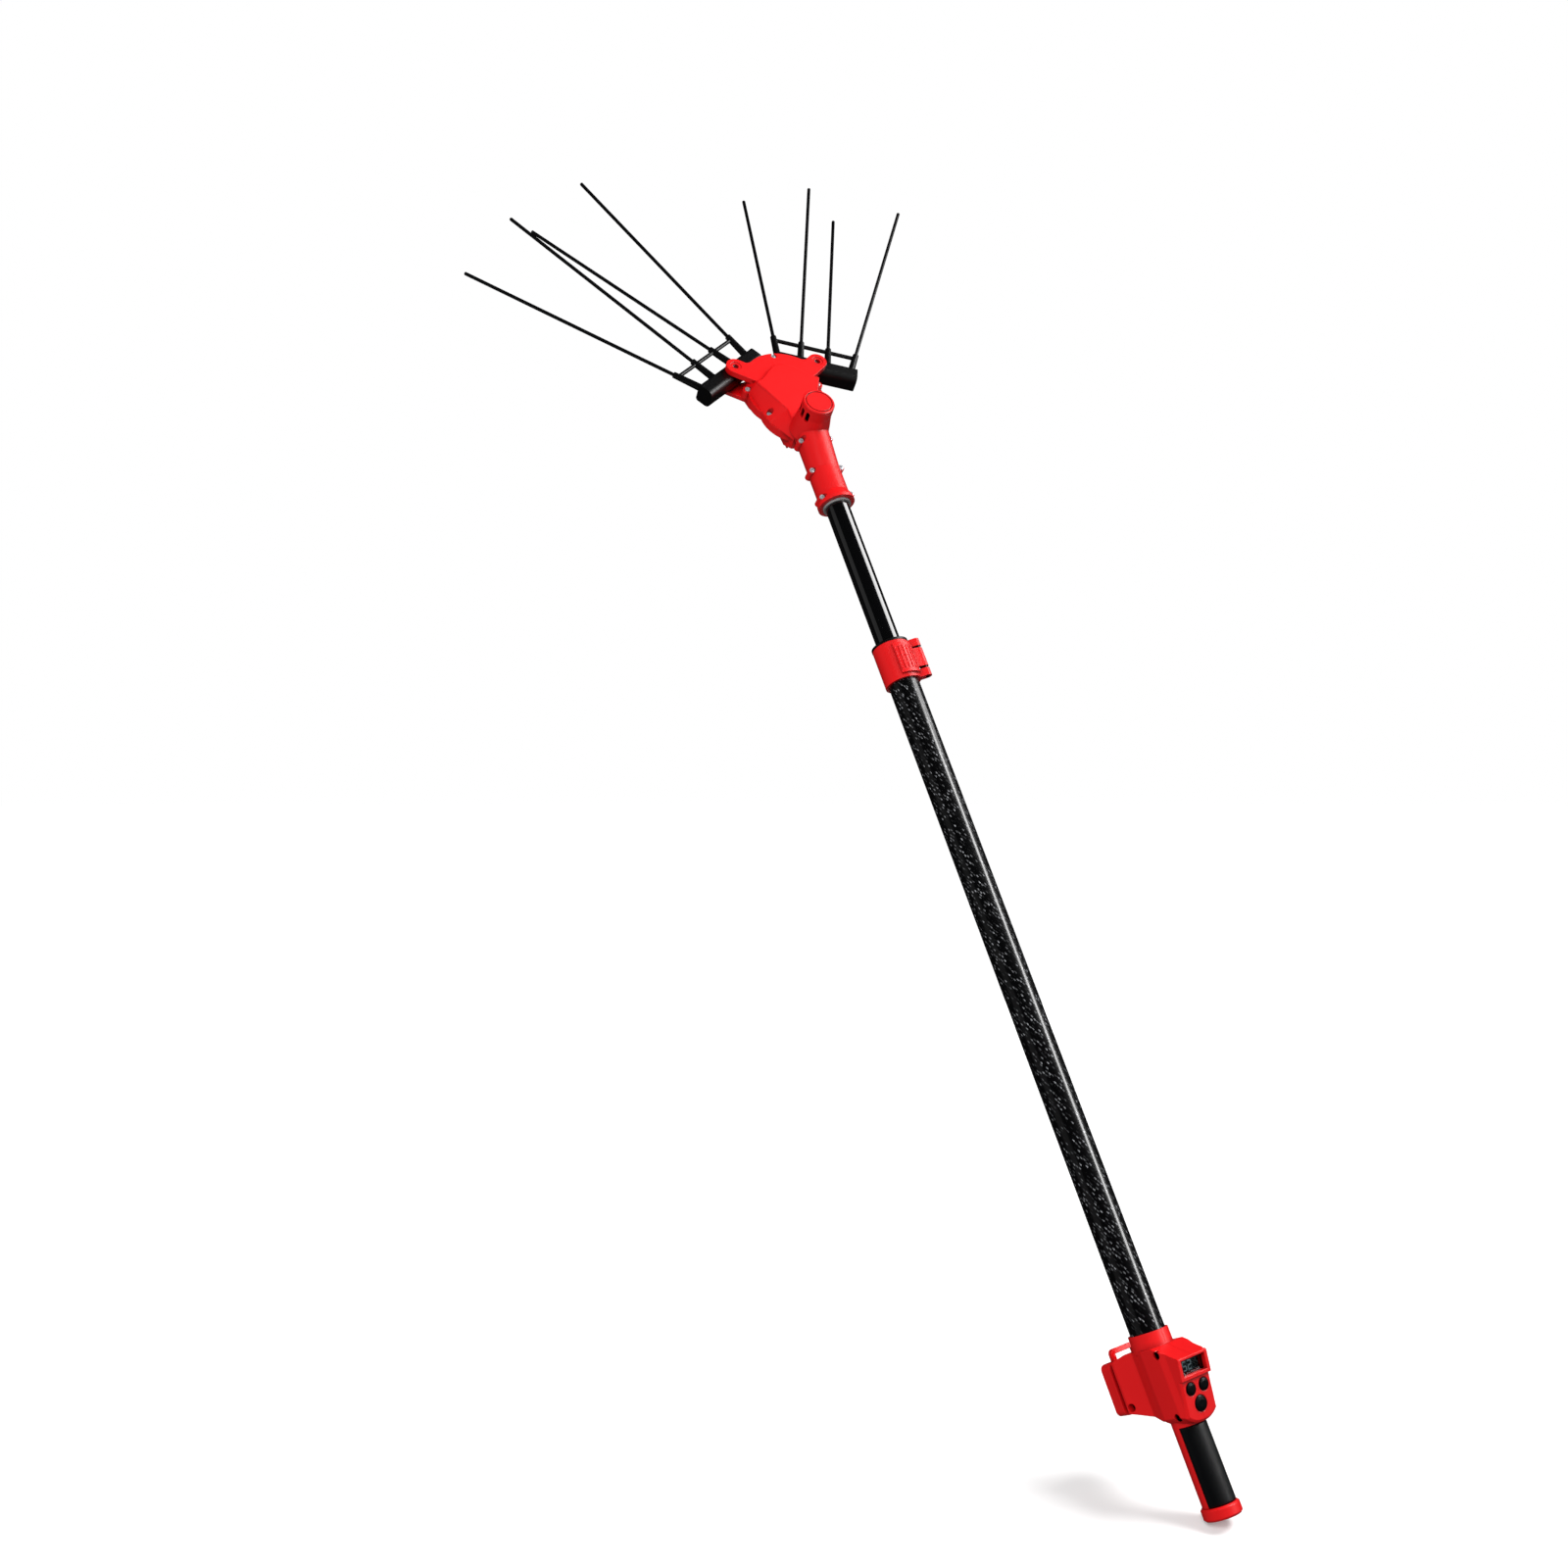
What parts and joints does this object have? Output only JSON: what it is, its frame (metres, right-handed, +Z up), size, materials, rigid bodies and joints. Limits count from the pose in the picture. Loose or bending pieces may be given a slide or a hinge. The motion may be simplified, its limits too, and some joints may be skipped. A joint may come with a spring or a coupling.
{
  "type": "electric olive harvester",
  "caption": "Telescopic pole harvester: handle with control box and battery dock, lever-clamped pole, and a motor head that swings two rod combs.",
  "frame": {"origin": "where the pole's axis meets the end face of the grip's cap", "axes": "+X along the pole towards the head, +Y to the left, +Z up, away from the battery dock"},
  "size_m": [1.8338, 0.6568, 0.2035],
  "materials": {
    "red_nylon": "satin moulded",
    "soft_grip": "matt",
    "display_window": "clear, smoked",
    "display_module": "matt",
    "circuit_board": "satin",
    "button_rubber": "satin",
    "contact_brass": "bright",
    "black_screw": "black oxide",
    "carbon_tube": "clear lacquer over woven carbon",
    "black_tube": "high gloss",
    "black_nylon": "satin moulded",
    "dark_steel": "oiled",
    "grey_ring": "satin",
    "zinc_screw": "zinc plated",
    "motor_steel": "plated can",
    "steel": "turned",
    "bush_bronze": "sintered",
    "tine_rod": "satin pultruded"
  },
  "bodies": {
    "handle": {"handle_shell_left": "red_nylon", "handle_shell_right": "red_nylon", "grip_pad": "soft_grip", "end_cap": "red_nylon", "display_window": "display_window", "display_module": "display_module", "control_board": "circuit_board", "battery_dock": "red_nylon", "dock_terminals": "contact_brass", "handle_screws": "black_screw", "outer_tube": "carbon_tube", "clamp_collar": "red_nylon", "clamp_liner": "black_nylon", "lever_pin": "dark_steel"},
    "left_button": {"left_button": "button_rubber"},
    "right_button": {"right_button": "button_rubber"},
    "power_button": {"power_button": "button_rubber"},
    "clamp_lever": {"clamp_lever": "red_nylon"},
    "pole_head": {"inner_tube": "black_tube", "guide_bush": "black_nylon", "neck_ring": "grey_ring", "head_top_cover": "red_nylon", "head_bottom_cover": "red_nylon", "motor_cap": "red_nylon", "drive_motor": "motor_steel", "shaft_bearings": "steel", "head_screws": "zinc_screw", "neck_screws": "zinc_screw", "left_pivot_pin": "steel", "right_pivot_pin": "steel"},
    "pinion": {"motor_shaft": "steel", "motor_pinion": "steel"},
    "crank": {"crank_gear": "steel", "crank_shaft": "steel", "eccentric_bearings": "steel"},
    "left_yoke": {"left_yoke": "black_nylon"},
    "right_yoke": {"right_yoke": "black_nylon"},
    "left_comb": {"left_comb_frame": "black_nylon", "left_pivot_bush": "bush_bronze", "left_tail_pin": "steel", "left_tine_1": "tine_rod", "left_tine_2": "tine_rod", "left_tine_3": "tine_rod", "left_tine_4": "tine_rod"},
    "right_comb": {"right_comb_frame": "black_nylon", "right_pivot_bush": "bush_bronze", "right_tail_pin": "steel", "right_tine_1": "tine_rod", "right_tine_2": "tine_rod", "right_tine_3": "tine_rod", "right_tine_4": "tine_rod"}
  },
  "joints": [
    {"name": "left_button_press", "type": "slide", "parent": "handle", "child": "left_button", "axis": [0.2334, 0, -0.9724], "range_m": [0, 0.001], "stiffness_N_per_m": 2000},
    {"name": "right_button_press", "type": "slide", "parent": "handle", "child": "right_button", "axis": [0.2334, 0, -0.9724], "range_m": [0, 0.001], "stiffness_N_per_m": 2000},
    {"name": "power_button_press", "type": "slide", "parent": "handle", "child": "power_button", "axis": [0.2334, 0, -0.9724], "range_m": [0, 0.001], "stiffness_N_per_m": 2000},
    {"name": "clamp_lever_turn", "type": "hinge", "parent": "handle", "child": "clamp_lever", "pos_m": [0.9835, -0.026, 0.01688], "axis": [1, 0, 0], "range_deg": [0, 150]},
    {"name": "pole_slide", "type": "slide", "parent": "handle", "child": "pole_head", "axis": [1, 0, 0], "range_m": [-0.194, 0.54]},
    {"name": "left_comb_swing", "type": "hinge", "parent": "pole_head", "child": "left_comb", "pos_m": [1.45447, 0.05371, -0.0444], "axis": [0.1392, 0.1549, 0.9781], "range_deg": [-10.01, 0.01]},
    {"name": "right_comb_swing", "type": "hinge", "parent": "pole_head", "child": "right_comb", "pos_m": [1.45447, -0.06481, -0.02563], "axis": [0.1392, 0.1549, 0.9781], "range_deg": [-10.01, 0.01]},
    {"name": "left_yoke_slide", "type": "slide", "parent": "pole_head", "child": "left_yoke", "axis": [0.9903, -0.0218, -0.1375], "range_m": [-0.00578, 0.00002]},
    {"name": "right_yoke_slide", "type": "slide", "parent": "pole_head", "child": "right_yoke", "axis": [0.9903, -0.0218, -0.1375], "range_m": [-0.00002, 0.00578]},
    {"name": "crank_turn", "type": "hinge", "parent": "pole_head", "child": "crank", "pos_m": [1.35852, -0.00107, -0.00674], "axis": [0.1392, 0.1549, 0.9781], "range_deg": [-180, 0]},
    {"name": "pinion_turn", "type": "hinge", "parent": "pole_head", "child": "pinion", "pos_m": [1.33476, -0.00054, -0.00344], "axis": [0.1392, 0.1549, 0.9781], "range_deg": [-1, 438.2]}
  ],
  "couplings": [
    {"joint": "left_comb_swing", "follows": "crank_turn", "ratio": 0.055556},
    {"joint": "right_comb_swing", "follows": "crank_turn", "ratio": 0.055556},
    {"joint": "left_yoke_slide", "follows": "crank_turn", "m_per_rad": 0.0018344},
    {"joint": "right_yoke_slide", "follows": "crank_turn", "m_per_rad": -0.0018344},
    {"joint": "pinion_turn", "follows": "crank_turn", "ratio": -2.4286}
  ]
}
